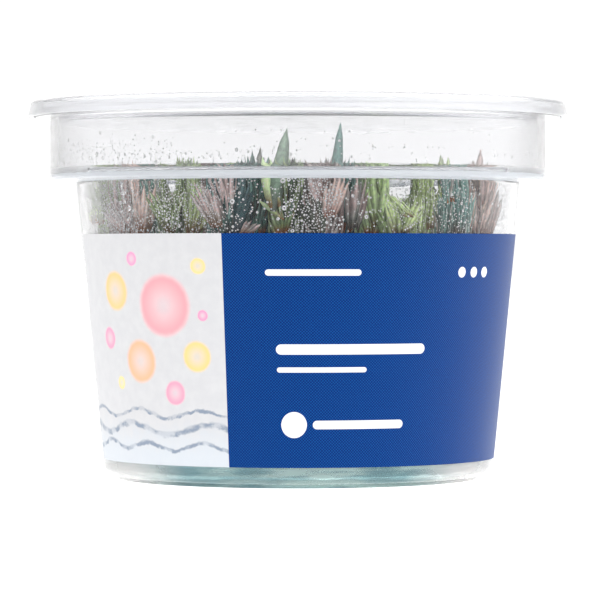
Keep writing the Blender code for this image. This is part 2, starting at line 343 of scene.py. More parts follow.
class Nodes:
    """Short ways to add and join the nodes of one shader tree."""

    def __init__(self, tree):
        self.tree = tree

    def put(self, socket, value):
        if isinstance(value, bpy.types.NodeSocket):
            self.tree.links.new(value, socket)
        elif socket.type == "RGBA":
            socket.default_value = (*value, 1.0)
        else:
            socket.default_value = value

    def fill(self, node, inputs):
        for name, value in inputs.items():
            self.put(node.inputs[name], value)

    def add(self, kind, inputs=None, **settings):
        made = self.tree.nodes.new(kind)
        for name, value in settings.items():
            setattr(made, name, value)
        self.fill(made, inputs or {})
        return made

    def surface(self, inputs):
        """Fills the principled shader that a new material starts with."""
        self.fill(self.tree.nodes["Principled BSDF"], inputs)

    def math(self, operation, *values):
        made = self.add("ShaderNodeMath", dict(enumerate(values)), operation=operation)
        return made.outputs[0]

    def times(self, first, second):
        return self.math("MULTIPLY", first, second)

    def plus(self, first, second):
        return self.math("ADD", first, second)

    def minus(self, first, second):
        return self.math("SUBTRACT", first, second)

    def distance(self, across, up):
        return self.math("SQRT", self.plus(self.math("POWER", across, 2.0), self.math("POWER", up, 2.0)))

    def mix(self, share, first, second):
        made = self.add("ShaderNodeMix", data_type="RGBA")
        self.fill(made, {0: share, 6: first, 7: second})
        return made.outputs[2]

    def span(self, value, low, high, to_low=0.0, to_high=1.0, smooth=True):
        """The value's way from low to high, as a way from to_low to to_high."""
        kind = "SMOOTHSTEP" if smooth else "LINEAR"
        inputs = {"Value": value, "From Min": low, "From Max": high, "To Min": to_low, "To Max": to_high}
        return self.add("ShaderNodeMapRange", inputs, interpolation_type=kind).outputs["Result"]

    def noise(self, place, scale, detail=2.0, roughness=0.5):
        inputs = {"Vector": place, "Scale": scale, "Detail": detail, "Roughness": roughness}
        return self.add("ShaderNodeTexNoise", inputs).outputs["Fac"]

    def attribute(self, name):
        return self.add("ShaderNodeAttribute", attribute_name=name).outputs["Fac"]

    def object_place(self):
        return self.add("ShaderNodeTexCoord").outputs["Object"]

    def part(self, vector, axis):
        return self.add("ShaderNodeSeparateXYZ", {"Vector": vector}).outputs[axis]

    def flattened(self, place, times):
        """The place with its height multiplied, which flattens what is drawn there."""
        inputs = {0: place, 1: (1.0, 1.0, times)}
        return self.add("ShaderNodeVectorMath", inputs, operation="MULTIPLY").outputs["Vector"]

    def bump(self, height, distance):
        return self.add("ShaderNodeBump", {"Height": height, "Distance": distance}).outputs["Normal"]


def new_material(name):
    """A material, and the way to its nodes."""
    made = bpy.data.materials.new(name)
    made.use_nodes = True
    return made, Nodes(made.node_tree)


def cup_plastic(name, colour, clearness):
    """Natural plastic with a faintly wavy surface; the less clearness, the milkier it is."""
    made, nodes = new_material(name)
    place = nodes.object_place()
    waviness = nodes.noise(nodes.flattened(place, 6.0), 90.0)
    haze = nodes.noise(place, 420.0, 3.0)
    nodes.surface({
        "Base Color": colour,
        "Transmission Weight": clearness,
        "IOR": PLASTIC_IOR,
        "Specular Tint": PLASTIC_SHINE,
        "Roughness": nodes.span(haze, 0.3, 0.8, 0.0, 0.04),
        "Normal": nodes.bump(waviness, 0.03 * MM),
    })
    return made


def fogged_plastic():
    """The inside of the wall: clear, but under a breath of the finest fog at the left."""
    made, nodes = new_material("fogged wall plastic")
    place = nodes.object_place()
    fog = nodes.span(nodes.part(place, "X"), -26 * MM, -37 * MM, 0.03, 0.25)
    patches = nodes.span(nodes.noise(place, 260.0, 3.0), 0.3, 0.7, 0.6, 1.2)
    nodes.surface({
        "Base Color": (0.89, 0.89, 0.90),
        "Transmission Weight": nodes.minus(1.0, nodes.times(fog, patches)),
        "IOR": PLASTIC_IOR,
        "Specular Tint": PLASTIC_SHINE,
        "Roughness": 0.0,
    })
    return made


def base_plastic():
    """The cup's rippled foot: sea green streaks in the middle and pearly white towards the sides, painted
    light that goes by the distance across from the middle.
    """
    made, nodes = new_material("base plastic in painted light")
    place = nodes.object_place()
    ripples = nodes.noise(nodes.flattened(place, 8.0), 90.0, 3.0)
    # Painted light: green in the middle and white at the sides go by the distance across, not round the cup
    aside = nodes.math("ABSOLUTE", nodes.part(place, "X"))
    green = nodes.mix(nodes.span(ripples, 0.38, 0.62), (0.22, 0.42, 0.46), (0.60, 0.79, 0.76))
    nodes.surface({
        "Base Color": nodes.mix(nodes.span(aside, 18 * MM, 31 * MM), green, (1.0, 0.98, 0.965)),
        "Transmission Weight": 0.7,
        "IOR": PLASTIC_IOR,
        "Roughness": 0.03,
        "Normal": nodes.bump(ripples, 0.2 * MM),
    })
    return made


def clear_thing(name, colour, clearness, ior, grain, dullness, bumps=None):
    """A clear thing, dull by the span and bumpy by the depth of a noise of that scale and detail."""
    made, nodes = new_material(name)
    haze = nodes.noise(nodes.object_place(), *grain)
    nodes.surface({
        "Base Color": colour,
        "Transmission Weight": clearness,
        "IOR": ior,
        "Roughness": nodes.span(haze, *dullness),
    })
    if bumps:
        nodes.surface({"Normal": nodes.bump(haze, bumps)})
    return made


def milky_plastic():
    """The lid's plastic, with a faint haze that scatters light."""
    colour = (0.94, 0.945, 0.965)
    dullness = (0.2, 0.8, 0.06, 0.16)
    return clear_thing("milky lid plastic", colour, 0.78, PLASTIC_IOR, (260.0, 3.0), dullness, 0.03 * MM)


def clear_jelly():
    """Jelly that takes a sea green tint from its depth."""
    colour = (0.96, 0.98, 0.98)
    dullness = (0.3, 0.8, 0.01, 0.08)
    made = clear_thing("clear jelly", colour, 0.97, JELLY_IOR, (180.0, 3.0), dullness, 0.2 * MM)
    nodes = Nodes(made.node_tree)
    depth = nodes.add("ShaderNodeVolumeAbsorption", {"Color": (0.43, 0.56, 0.585), "Density": JELLY_DENSITY})
    nodes.fill(made.node_tree.nodes["Material Output"], {"Volume": depth.outputs["Volume"]})
    return made


def water(name, clearness):
    """Condensed water; without clearness it is flat white, a painted glint in place of the light that a
    droplet gathers.
    """
    return clear_thing(name, (1.0, 1.0, 1.0), clearness, WATER_IOR, (900.0, 2.0), (0.3, 0.7, 0.0, 0.01))


# Root, middle and tip of a leaf, then the navy dark of painted shade that leaves of a low cast turn to, and
# what its freshest leaves turn to
LEAF_COLOURS = {
    "leaf_teal": (
        (0.06, 0.05, 0.04), (0.06, 0.13, 0.11), (0.12, 0.20, 0.18), (0.014, 0.028, 0.05), (0.26, 0.20, 0.19),
    ),
    "leaf_olive": (
        (0.10, 0.06, 0.03), (0.14, 0.18, 0.08), (0.21, 0.25, 0.14), (0.02, 0.05, 0.055), (0.27, 0.33, 0.15),
    ),
    "leaf_mauve": (
        (0.13, 0.06, 0.04), (0.21, 0.15, 0.14), (0.19, 0.17, 0.16), (0.06, 0.08, 0.06), (0.34, 0.26, 0.23),
    ),
    "leaf_lime": (
        (0.13, 0.09, 0.03), (0.18, 0.24, 0.11), (0.29, 0.35, 0.21), (0.03, 0.07, 0.07), (0.34, 0.43, 0.22),
    ),
}

# Dark and light of what is blotched
RUST = ((0.24, 0.06, 0.015), (0.66, 0.25, 0.08))
STALK_GREEN = ((0.06, 0.066, 0.036), (0.10, 0.11, 0.06))
ROOT_WHITE = ((0.372, 0.348, 0.282), (0.62, 0.58, 0.47))
LABEL_BACK = ((0.78, 0.79, 0.80), (0.86, 0.86, 0.87))


def leaf(slot):
    """Leaf green that turns from root to tip, differs from whorl to whorl and rusts in places."""
    made, nodes = new_material(slot.replace("_", " "))
    root, middle, tip, deep, fresh = LEAF_COLOURS[slot]
    along = nodes.attribute("along")
    tone = nodes.attribute("tone")
    cast = nodes.attribute("cast")
    blade = nodes.mix(nodes.span(along, 0.0, 0.4), root, middle)
    blade = nodes.mix(nodes.span(along, 0.45, 1.0), blade, tip)
    # Leaves of a low cast turn to the navy dark, painted shade among the foliage
    blade = nodes.mix(nodes.span(cast, 0.45, 0.0, 0.0, 0.9), blade, deep)
    freshness = nodes.times(nodes.span(cast, 0.6, 1.0), nodes.span(along, 0.0, 0.5))
    blade = nodes.mix(freshness, blade, fresh)
    fine = nodes.noise(nodes.object_place(), 1400.0, 3.0)
    value = nodes.span(tone, 0.0, 1.0, 0.25, 3.9, smooth=False)
    value = nodes.times(value, nodes.span(nodes.attribute("rib"), 0.0, 1.0, 0.6, 1.2))
    value = nodes.times(value, nodes.span(fine, 0.2, 0.8, 0.75, 1.25))
    depth = nodes.span(tone, 0.2, 1.0, 1.1, 0.75, smooth=False)
    saturation = nodes.times(nodes.span(fine, 0.2, 0.8, 0.95, 1.25), depth)
    inputs = {"Saturation": saturation, "Value": value, "Color": blade}
    shift = nodes.add("ShaderNodeHueSaturation", inputs)
    rust = nodes.times(nodes.attribute("rust"), nodes.span(along, 0.05, 0.6, 1.0, 0.0))
    nodes.surface({
        "Base Color": nodes.mix(rust, shift.outputs["Color"], nodes.mix(fine, *RUST)),
        "Roughness": nodes.span(fine, 0.2, 0.8, 0.32, 0.55),
        "Normal": nodes.bump(fine, 0.04 * MM),
        "Specular IOR Level": 0.4,
    })
    return made


def blotched(name, colours, scale, detail, roughness):
    """A dull finish that goes from dark to light in blotches."""
    made, nodes = new_material(name)
    blotch = nodes.noise(nodes.object_place(), scale, detail)
    nodes.surface({"Base Color": nodes.mix(blotch, *colours), "Roughness": roughness})
    return made


LABEL_MIDDLE_RADIUS = wall_radius((LABEL_LOW.z + LABEL_HIGH.z) / 2)
LABEL_LENGTH = (LABEL_END - LABEL_START) * LABEL_MIDDLE_RADIUS
LABEL_HEIGHT = LABEL_HIGH.z - LABEL_LOW.z


def label_x(angle):
    """Millimetres along the label, from its start, at an angle in degrees."""
    return (math.radians(angle) - LABEL_START) * LABEL_MIDDLE_RADIUS / MM


# Plain bubbles on the white panel: millimetres from the label's start, height, radius, colour
BUBBLES = (
    (27.0, 28.5, 5.6, (0.93, 0.30, 0.34)),
    (14.5, 31.0, 3.6, (0.95, 0.55, 0.16)),
    (33.5, 19.5, 2.8, (0.95, 0.60, 0.16)),
    (20.5, 18.5, 3.9, (0.94, 0.42, 0.20)),
    (11.0, 22.5, 2.0, (0.93, 0.26, 0.44)),
    (28.5, 13.0, 2.2, (0.92, 0.28, 0.42)),
    (34.5, 35.5, 1.5, (0.95, 0.66, 0.20)),
    (20.0, 36.8, 1.3, (0.93, 0.26, 0.50)),
    (14.0, 14.5, 1.2, (0.95, 0.70, 0.22)),
    (35.0, 26.8, 1.0, (0.92, 0.24, 0.46)),
)

# Plain ripples under the bubbles: height, swing, wavelength, shift, half thickness
RIPPLES = (
    (9.2, 0.8, 15.0, 0.0, 0.30),
    (6.4, 1.0, 19.0, 2.4, 0.50),
    (3.4, 0.7, 13.0, 4.1, 0.35),
)
RIPPLE_GREY = (0.20, 0.25, 0.33)

# Plain white marks on the blue: middle along the label, middle height, half length, half height
MARKS = (
    (label_x(4.0), 34.4, 8.2, 0.55),
    (label_x(47.5), 34.4, 0.95, 0.95),
    (label_x(52.5), 34.4, 0.95, 0.95),
    (label_x(57.5), 34.4, 0.95, 0.95),
    (label_x(15.0), 20.9, 13.8, 0.9),
    (label_x(6.5), 17.3, 8.0, 0.45),
    (label_x(-1.0), 7.6, 2.3, 2.3),
    (label_x(17.0), 7.6, 8.6, 0.75),
)

# Colours of the paper and of the print
PAPER = ((0.575, 0.575, 0.59), (0.61, 0.61, 0.62))
PAPER_POOL = (0.60, 0.66, 0.72)
BLUE = ((0.001, 0.010, 0.10), (0.005, 0.075, 0.29))
MARK_WHITE = (0.86, 0.87, 0.89)
PRINT_SHINE = (0.1, 0.1, 0.1)
PRINT_EDGE = 0.05
FOLD_EDGE = 0.04


def bubble_paint(nodes, paper, x, y, wash):
    """Soft rings of colour, as watercolour dries, laid over the paper."""
    painted = paper
    for middle_x, middle_y, radius, colour in BUBBLES:
        away = nodes.distance(nodes.minus(x, middle_x), nodes.minus(y, middle_y))
        away = nodes.plus(away, nodes.times(wash, 0.35))
        inside = nodes.span(away, radius * 0.82, radius * 1.08, 1.0, 0.0)
        depth = nodes.span(away, 0.0, radius, 0.18, 0.85)
        painted = nodes.mix(nodes.times(inside, depth), painted, colour)
    return painted


def ripple_paint(nodes, paper, x, y, wash):
    """Thin uneven waves of grey blue."""
    painted = paper
    for level, swing, length, shift, half in RIPPLES:
        angle = nodes.plus(nodes.times(x, 2 * math.pi / length), shift)
        wave = nodes.times(nodes.math("SINE", angle), swing)
        above = nodes.minus(nodes.minus(y, level), wave)
        above = nodes.plus(above, nodes.times(wash, 1.6))
        line = nodes.span(nodes.math("ABSOLUTE", above), half * 0.5, half * 1.5, 1.0, 0.0)
        patchy = nodes.span(wash, -0.12, 0.10, 0.25, 0.9)
        painted = nodes.mix(nodes.times(line, patchy), painted, RIPPLE_GREY)
    return painted


def mark_mask(nodes, x, y):
    """Where the plain white marks are: bars and dots with round ends."""
    shown = 0.0
    for middle_x, middle_y, half_length, half_height in MARKS:
        aside = nodes.math("ABSOLUTE", nodes.minus(x, middle_x))
        beyond = nodes.math("MAXIMUM", nodes.minus(aside, half_length - half_height), 0.0)
        away = nodes.distance(beyond, nodes.minus(y, middle_y))
        mark = nodes.span(away, half_height - PRINT_EDGE, half_height + PRINT_EDGE, 1.0, 0.0)
        shown = nodes.math("MAXIMUM", shown, mark)
    return shown


def print_screen(nodes, x, y, grain):
    """The fine diagonal screen that the blue is printed in, a little grainy."""
    across = nodes.math("SINE", nodes.times(x, 2 * math.pi / SCREEN_MM))
    upward = nodes.math("SINE", nodes.times(y, 2 * math.pi / SCREEN_MM))
    return nodes.plus(nodes.times(across, upward), nodes.times(nodes.minus(grain, 0.5), 2.0))


def label_print():
    """White panel with soft bubbles, then deep blue in a fine diagonal print screen."""
    made, nodes = new_material("label print")
    uv = nodes.add("ShaderNodeUVMap", uv_map="print").outputs["UV"]
    x = nodes.times(nodes.part(uv, "X"), LABEL_LENGTH / MM)
    y = nodes.times(nodes.part(uv, "Y"), LABEL_HEIGHT / MM)
    flat = nodes.add("ShaderNodeCombineXYZ", {"X": x, "Y": y}).outputs["Vector"]
    wash = nodes.minus(nodes.noise(flat, 0.45, 4.0, 0.6), 0.5)
    grain = nodes.noise(flat, 6.0, 2.0)
    paper = nodes.mix(nodes.span(wash, -0.2, 0.25), *PAPER)
    pool = nodes.span(nodes.plus(y, nodes.times(wash, 9.0)), 1.0, 9.0, 0.55, 0.0)
    paper = nodes.mix(pool, paper, PAPER_POOL)
    paper = bubble_paint(nodes, paper, x, y, wash)
    paper = ripple_paint(nodes, paper, x, y, wash)
    blue = nodes.mix(nodes.span(print_screen(nodes, x, y, grain), -0.8, 0.9), *BLUE)
    blue = nodes.mix(mark_mask(nodes, x, y), blue, MARK_WHITE)
    fold = label_x(math.degrees(LABEL_FOLD))
    nodes.surface({
        "Base Color": nodes.mix(nodes.span(x, fold - FOLD_EDGE, fold + FOLD_EDGE), paper, blue),
        "Roughness": nodes.span(grain, 0.2, 0.8, 0.36, 0.5),
        "Normal": nodes.bump(grain, 0.01 * MM),
        "Specular Tint": PRINT_SHINE,
    })
    return made


def new_piece(name, points, faces, finishes, sharp_degrees):
    """A named mesh on the object's one body; faces meeting under the angle are shaded as one curve."""
    mesh = bpy.data.meshes.new(name)
    mesh.from_pydata(points, [], faces)
    for finish in finishes:
        mesh.materials.append(finish)
    mesh.shade_smooth()
    mesh.set_sharp_from_angle(angle=math.radians(sharp_degrees))
    made = bpy.data.objects.new(name, mesh)
    bpy.context.scene.collection.objects.link(made)
    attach(made, "root")
    return made


def rounded(corners):
    """An outline whose corners, given as (radius, height, rounding), are turned into curves; a point
    held close to each end of a curve keeps the shading of the flat beside it flat."""
    outline = []
    for index, (radius, height, rounding) in enumerate(corners):
        corner = Vector((radius, height))
        if rounding == 0.0:
            outline.append(corner)
            continue
        back = (Vector(corners[index - 1][:2]) - corner).normalized()
        on = (Vector(corners[index + 1][:2]) - corner).normalized()
        half = back.angle(on) / 2
        start = corner + back * rounding / math.tan(half)
        end = corner + on * rounding / math.tan(half)
        middle = corner + (back + on).normalized() * rounding / math.sin(half)
        outline.append(start + back * FLAT_HOLD)
        for step in range(ROUNDING_STEPS + 1):
            chord = start.lerp(end, step / ROUNDING_STEPS) - middle
            outline.append(middle + chord.normalized() * rounding)
        outline.append(end + on * FLAT_HOLD)
    return outline


def turned(name, outline, finishes):
    """A closed body of revolution from an outline that starts and ends on the axis."""
    points = []
    rings = []
    for radius, height in outline:
        first = len(points)
        points += circle(radius, height, TURN_STEPS if radius > 0.0 else 1)
        rings.append(range(first, len(points)))
    faces = []
    for lower, upper in zip(rings, rings[1:]):
        for step in range(TURN_STEPS):
            after = (step + 1) % TURN_STEPS
            corners = [lower[step % len(lower)], lower[after % len(lower)]]
            corners += [upper[after % len(upper)], upper[step % len(upper)]]
            faces.append(tuple(dict.fromkeys(corners)))
    return new_piece(name, points, faces, finishes, 35)


def finish_by_place(made, finishes, finish_at):
    """Gives each face the finish that finish_at names for its middle."""
    order = list(finishes)
    for polygon in made.data.polygons:
        polygon.material_index = order.index(finish_at(polygon.center))


def cup_finish_at(place):
    """Which of the cup's finishes is at a place on its surface."""
    radius = math.hypot(place.x, place.y)
    on_fillet = SHELF_TOP_Z < place.z < SHELF_TOP_Z + SHELF_FILLET and radius < COLLAR_INSIDE + GAP
    # The fillet's left and right ends are painted white: painted light, as the turned cup is the same all
    # round
    if on_fillet and abs(place.x) > SHELF_LIGHT_PAINT_FROM:
        return "shelf ends"
    if SHELF_Z - SOFT_EDGE < place.z < SHELF_TOP_Z + MILKY_FILLET * SHELF_FILLET:
        return "shelf"
    if place.z > SHELF_TOP_Z:
        return "collar"
    if place.z < LABEL_LOW.z:
        return "base"
    if radius < wall_radius(place.z) - WALL_THICKNESS / 2:
        return "inside"
    return "wall"


def make_cup():
    ring = WALL_FOOT_RADIUS - FOOT_RING_INSET
    ring_inside = ring - FOOT_RING_WIDTH
    flange_top = FLANGE_Z + FLANGE_THICKNESS
    corners = [
        (0.0, BASE_RECESS, 0.0),
        (ring_inside - BASE_RECESS, BASE_RECESS, RECESS_ROUNDING),
        (ring_inside, 0.0, THIN_EDGE),
        (ring, 0.0, FOOT_RING_ROUNDING),
        (ring, FOOT_STEP, FOOT_STEP_ROUNDING),
        (wall_radius(FOOT_STEP), FOOT_STEP, BASE_ROUNDING),
        (wall_radius(LABEL_LOW.z), LABEL_LOW.z, 0.0),
        (wall_radius(SHELF_Z), SHELF_Z, SOFT_EDGE),
        (COLLAR_RADIUS, SHELF_Z, COLLAR_FOOT_ROUNDING),
        (COLLAR_RADIUS, SHELF_TOP_Z + MILKY_RISE, 0.0),
        (COLLAR_RADIUS, FLANGE_Z, SOFT_EDGE),
        (FLANGE_RADIUS, FLANGE_Z, THIN_EDGE),
        (FLANGE_RADIUS, flange_top, THIN_EDGE),
        (COLLAR_RADIUS, flange_top, THIN_EDGE),
        (COLLAR_RADIUS - GAP, LIP_TOP_Z, SOFT_EDGE),
        (COLLAR_INSIDE, LIP_TOP_Z, SOFT_EDGE),
        (COLLAR_INSIDE, SHELF_TOP_Z, SHELF_FILLET),
        (inner_radius(SHELF_TOP_Z), SHELF_TOP_Z, SHELF_EDGE_ROUNDING),
        (inner_radius(FLOOR_Z), FLOOR_Z, FLOOR_ROUNDING),
        (0.0, FLOOR_Z, 0.0),
    ]
    finishes = {
        "wall": cup_plastic("clear wall plastic", (0.89, 0.89, 0.90), 1.0),
        "collar": cup_plastic("milky collar plastic", (0.97, 0.97, 0.98), 0.92),
        "shelf": cup_plastic("milky shelf plastic", (0.73, 0.76, 0.80), 0.4),
        "base": base_plastic(),
        "inside": fogged_plastic(),
        # White plastic for the fillet's left and right ends, painted light
        "shelf ends": cup_plastic("shelf ends in painted light", (1.0, 1.0, 1.0), 0.2),
    }
    made = turned("cup_shell", rounded(corners), finishes.values())
    finish_by_place(made, finishes, cup_finish_at)
    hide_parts("cup")


def lid_finish_at(place):
    """Which of the lid's finishes is at a place on its surface."""
    radius = math.hypot(place.x, place.y)
    on_plug = PLUG_RADIUS - 1.5 * LID_WALL < radius < PLUG_RADIUS + GAP
    return "plug" if on_plug and place.z > PANEL_TOP_Z else "milky"


def make_lid():
    ring_under = LIP_TOP_Z + GAP
    skirt_inside = FLANGE_RADIUS + GAP
    corners = [
        (0.0, PANEL_Z, 0.0),
        (PLUG_RADIUS, PANEL_Z, PLUG_FOOT_ROUNDING),
        (PLUG_RADIUS, ring_under, THIN_EDGE),
        (skirt_inside, ring_under, THIN_EDGE),
        (skirt_inside, SKIRT_FOOT_Z, THIN_EDGE),
        (LID_RADIUS, SKIRT_FOOT_Z, THIN_EDGE),
        (LID_TOP_RADIUS, LID_TOP_Z, LID_ROUNDING),
        (PLUG_RADIUS - LID_WALL, LID_TOP_Z, LID_ROUNDING),
        (PLUG_RADIUS - LID_WALL, PANEL_TOP_Z, LID_ROUNDING),
        (0.0, PANEL_TOP_Z, 0.0),
    ]
    finishes = {
        "milky": milky_plastic(),
        "plug": cup_plastic("clear plug plastic", (0.94, 0.94, 0.955), 1.0),
    }
    made = turned("lid_moulding", rounded(corners), finishes.values())
    finish_by_place(made, finishes, lid_finish_at)
    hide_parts("lid")


def make_jelly():
    """Jelly set against the wall; it wets the plastic, so no air shows between them."""
    foot_z = FLOOR_Z - WET_OVERLAP
    edge_z = JELLY_TOP_Z + JELLY_CREEP
    corners = [
        (0.0, foot_z, 0.0),
        (inner_radius(foot_z) + WET_OVERLAP, foot_z, FLOOR_ROUNDING),
        (inner_radius(edge_z) + WET_OVERLAP, edge_z, 0.0),
        (inner_radius(edge_z) - JELLY_CREEP * 1.4, JELLY_TOP_Z, JELLY_EDGE_ROUNDING),
        (0.0, JELLY_TOP_Z, 0.0),
    ]
    made = turned("jelly_set", rounded(corners), [clear_jelly()])
    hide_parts("jelly")


def label_columns():
    """(angle, lowest, highest) of each column of the label, drawn in at its round corners."""
    stops = [step / LABEL_COLUMNS for step in range(LABEL_COLUMNS + 1)]
    turns = [math.radians(turn) for turn in range(10, 91, 10)]
    near = [LABEL_CORNER / LABEL_LENGTH * (1 - math.cos(turn)) for turn in turns]
    columns = []
    for share in sorted(set(stops + near + [1 - stop for stop in near])):
        from_end = min(share, 1 - share) * LABEL_LENGTH
        short = max(0.0, LABEL_CORNER - from_end)
        drawn_in = LABEL_CORNER - math.sqrt(LABEL_CORNER**2 - short**2)
        angle = LABEL_START + (LABEL_END - LABEL_START) * share
        columns.append((angle, LABEL_LOW.z + drawn_in, LABEL_HIGH.z - drawn_in))
    return columns


def make_label():
    """A thin strip bent round the taper: its printed face has the print's own coordinates."""
    points = []
    prints = []
    for angle, low, high in label_columns():
        share = (angle - LABEL_START) / (LABEL_END - LABEL_START)
        for height, depth in ((low, 0.0), (low, LABEL_THICKNESS), (high, LABEL_THICKNESS), (high, 0.0)):
            radius = wall_radius(height) + LABEL_LIFT + depth
            points.append((radius * math.sin(angle), -radius * math.cos(angle), height))
            prints.append((share, (height - LABEL_LOW.z) / LABEL_HEIGHT))
    faces = []
    for column in range(0, len(points) - 4, 4):
        for side in range(4):
            after = (side + 1) % 4
            faces.append((column + side, column + 4 + side, column + 4 + after, column + after))
    faces.append((0, 1, 2, 3))
    faces.append(tuple(len(points) - corner for corner in (1, 2, 3, 4)))
    finishes = [blotched("label back", LABEL_BACK, 900.0, 4.0, 0.6), label_print()]
    made = new_piece("label_print", points, faces, finishes, 35)
    for polygon in made.data.polygons:
        outside = set(corner % 4 for corner in polygon.vertices) == {1, 2}
        polygon.material_index = 1 if outside else 0
    layer = made.data.uv_layers.new(name="print")
    for loop in made.data.loops:
        layer.data[loop.index].uv = prints[loop.vertex_index]
    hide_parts("label")


def unit_rows(rows):
    """Every row of an array as a direction of length one."""
    return rows / np.linalg.norm(rows, axis=1)[:, None]


def on_line(line, height):
    """The point at a height of a line that rises."""
    x, y, z = np.array(line).T
    return Vector((np.interp(height, z, x), np.interp(height, z, y), height))


def in_window(point):
    """Whether something at a point would close one of the openings to the camera."""
    share = CAMERA_AT.y / (CAMERA_AT.y - point.y)
    seen = (CAMERA_AT + (point - CAMERA_AT) * share) / MM
    for middle_x, middle_z, half_x, half_z in WINDOWS:
        if ((seen.x - middle_x) / half_x) ** 2 + ((seen.z - middle_z) / half_z) ** 2 < 1:
            return True
    return False


class Stalk:
    """The line of a packed shoot's stalk, read from its solid, and the tips of its leaves."""

    def __init__(self, node):
        points = np.array([tuple(vertex.co) for vertex in node.data.vertices])
        points = np.unique(np.round(points, 6), axis=0)
        levels = np.round(points[:, 2], 5)
        rings = []
        for level in np.unique(levels):
            ring = points[levels == level]
            if len(ring) == RING_CORNERS:
                rings.append(ring.mean(axis=0))
        top = points[np.argmax(points[:, 2])]
        self.line = np.array(rings + [top])
        self.foot_z = self.line[0][2]
        self.top_z = top[2]
        self.top = Vector(top)
        away = np.array([(Vector(point) - self.at(point[2])).length for point in points])
        self.tips = [Vector(point) for point in points[away > TIP_REACH]]
        self.room = max(away)

    def at(self, height):
        return on_line(self.line, height)


class Growth:
    """Gathers one shoot's leaves, stalks and roots, then makes them one mesh."""

    # Finishes, by their place in the list
    LEAF, STALK, ROOT = range(3)

    # Stations of a leaf: share of its length, and of its width there
    STATIONS = ((0.0, 0.35), (0.22, 0.85), (0.55, 1.0), (0.82, 0.62))

    # How deep the crease is and how thick the blade is, as shares of its width
    CREASE = 0.22
    THICKNESS = 0.10

    def __init__(self, stalk, draw):
        self.stalk = stalk
        self.draw = draw
        self.ceiling = min(stalk.top_z, TALL_Z)
        # Shoots towards the sides are painted lighter, painted light from the sides
        self.pale = SIDE_LIGHT_PAINT * min(1.0, abs(stalk.top.x) / CUP_INSIDE)
        self.leaves = []
        self.points = []
        self.faces = []
        self.kinds = []
        self.values = {"along": [], "rib": [], "tone": [], "cast": [], "rust": []}

    def held_in(self, tip, below, above):
        """The tip, drawn in where it would leave the room of the shoot's solid or its ragged top."""
        height = min(tip.z, self.ceiling + self.draw.uniform(below, above) * MM)
        middle = self.stalk.at(height)
        out = Vector((tip.x, tip.y, height)) - middle
        if out.length > self.stalk.room:
            out *= self.stalk.room / out.length
        return middle + out

    def add_leaf(self, root, tip, facing, width, bow, tone, cast, rust):
        """Keeps a leaf's facts; one that would close an opening stops short of it."""
        for share in WINDOW_TRIES:
            if in_window(root.lerp(tip, share)):
                tip = root.lerp(tip, share - WINDOW_RETREAT)
                width *= WINDOW_NARROWING
                break
        # Painted light from the sides: leaves of shoots there are made lighter and fresher
        tone += (1.0 - tone) * self.pale
        cast += (1.0 - cast) * self.pale * 0.5
        self.leaves.append((*root, *tip, *facing, width, bow, tone, cast, rust))

    def add_tube(self, line, radii, kind):
        """A closed tube along a line of points, drawn to a point at its end."""
        first = len(self.points)
        for centre, radius in zip(line[:-1], radii):
            turns = [heading(2 * math.pi * side / STALK_SIDES) for side in range(STALK_SIDES)]
            self.points += [tuple(centre + turn * radius) for turn in turns]
        self.points.append(tuple(line[-1]))
        self.faces += moved(closed_faces(STALK_SIDES, len(line) - 1), first)
        self.kinds += [kind] * (len(self.faces) - len(self.kinds))
        for values in self.values.values():
            values += [0.0] * (len(self.points) - first)

    def leaf_corners(self, given):
        """Corners of every leaf: a narrow blade, creased along its midrib and bowed, and its tip."""
        root, tip, facing = given[:, 0:3], given[:, 3:6], given[:, 6:9]
        width, bow = given[:, 9], given[:, 10]
        run = tip - root
        length = np.linalg.norm(run, axis=1)
        side = unit_rows(np.cross(run, facing))
        face = unit_rows(np.cross(side, run))
        rows = []
        for share, spread in self.STATIONS:
            middle = root + run * share + face * (bow * length * 4 * share * (1 - share))[:, None]
            half = side * (width * spread / 2)[:, None]
            fold = face * (width * spread * self.CREASE)[:, None]
            thick = face * (width * self.THICKNESS)[:, None]
            rows += [middle - half - fold, middle + thick, middle + half - fold, middle - thick]
        rows.append(tip)
        return np.stack(rows, axis=1)

    def close_leaves(self):
        """Adds the leaves that were kept, each one drawn to a point."""
        given = np.array(self.leaves)
        corners = self.leaf_corners(given)
        template = closed_faces(4, len(self.STATIONS))
        first = len(self.points)
        size = corners.shape[1]
        self.points += [tuple(point) for point in corners.reshape(-1, 3)]
        for start in range(first, first + len(given) * size, size):
            self.faces += moved(template, start)
        self.kinds += [self.LEAF] * (len(self.faces) - len(self.kinds))
        shares = [share for share, _ in self.STATIONS for _ in range(4)]
        ribs = [0.0, 1.0, 0.0, 1.0] * len(self.STATIONS)
        self.values["along"] += (shares + [1.0]) * len(given)
        self.values["rib"] += (ribs + [0.5]) * len(given)
        for column, key in enumerate(("tone", "cast", "rust"), 11):
            self.values[key] += list(np.repeat(given[:, column], size))

    def make(self, name, finishes):
        self.close_leaves()
        made = new_piece(name, self.points, self.faces, finishes, 40)
        made.data.polygons.foreach_set("material_index", self.kinds)
        for key, values in self.values.items():
            layer = made.data.attributes.new(key, "FLOAT", "POINT")
            layer.data.foreach_set("value", values)
        return made


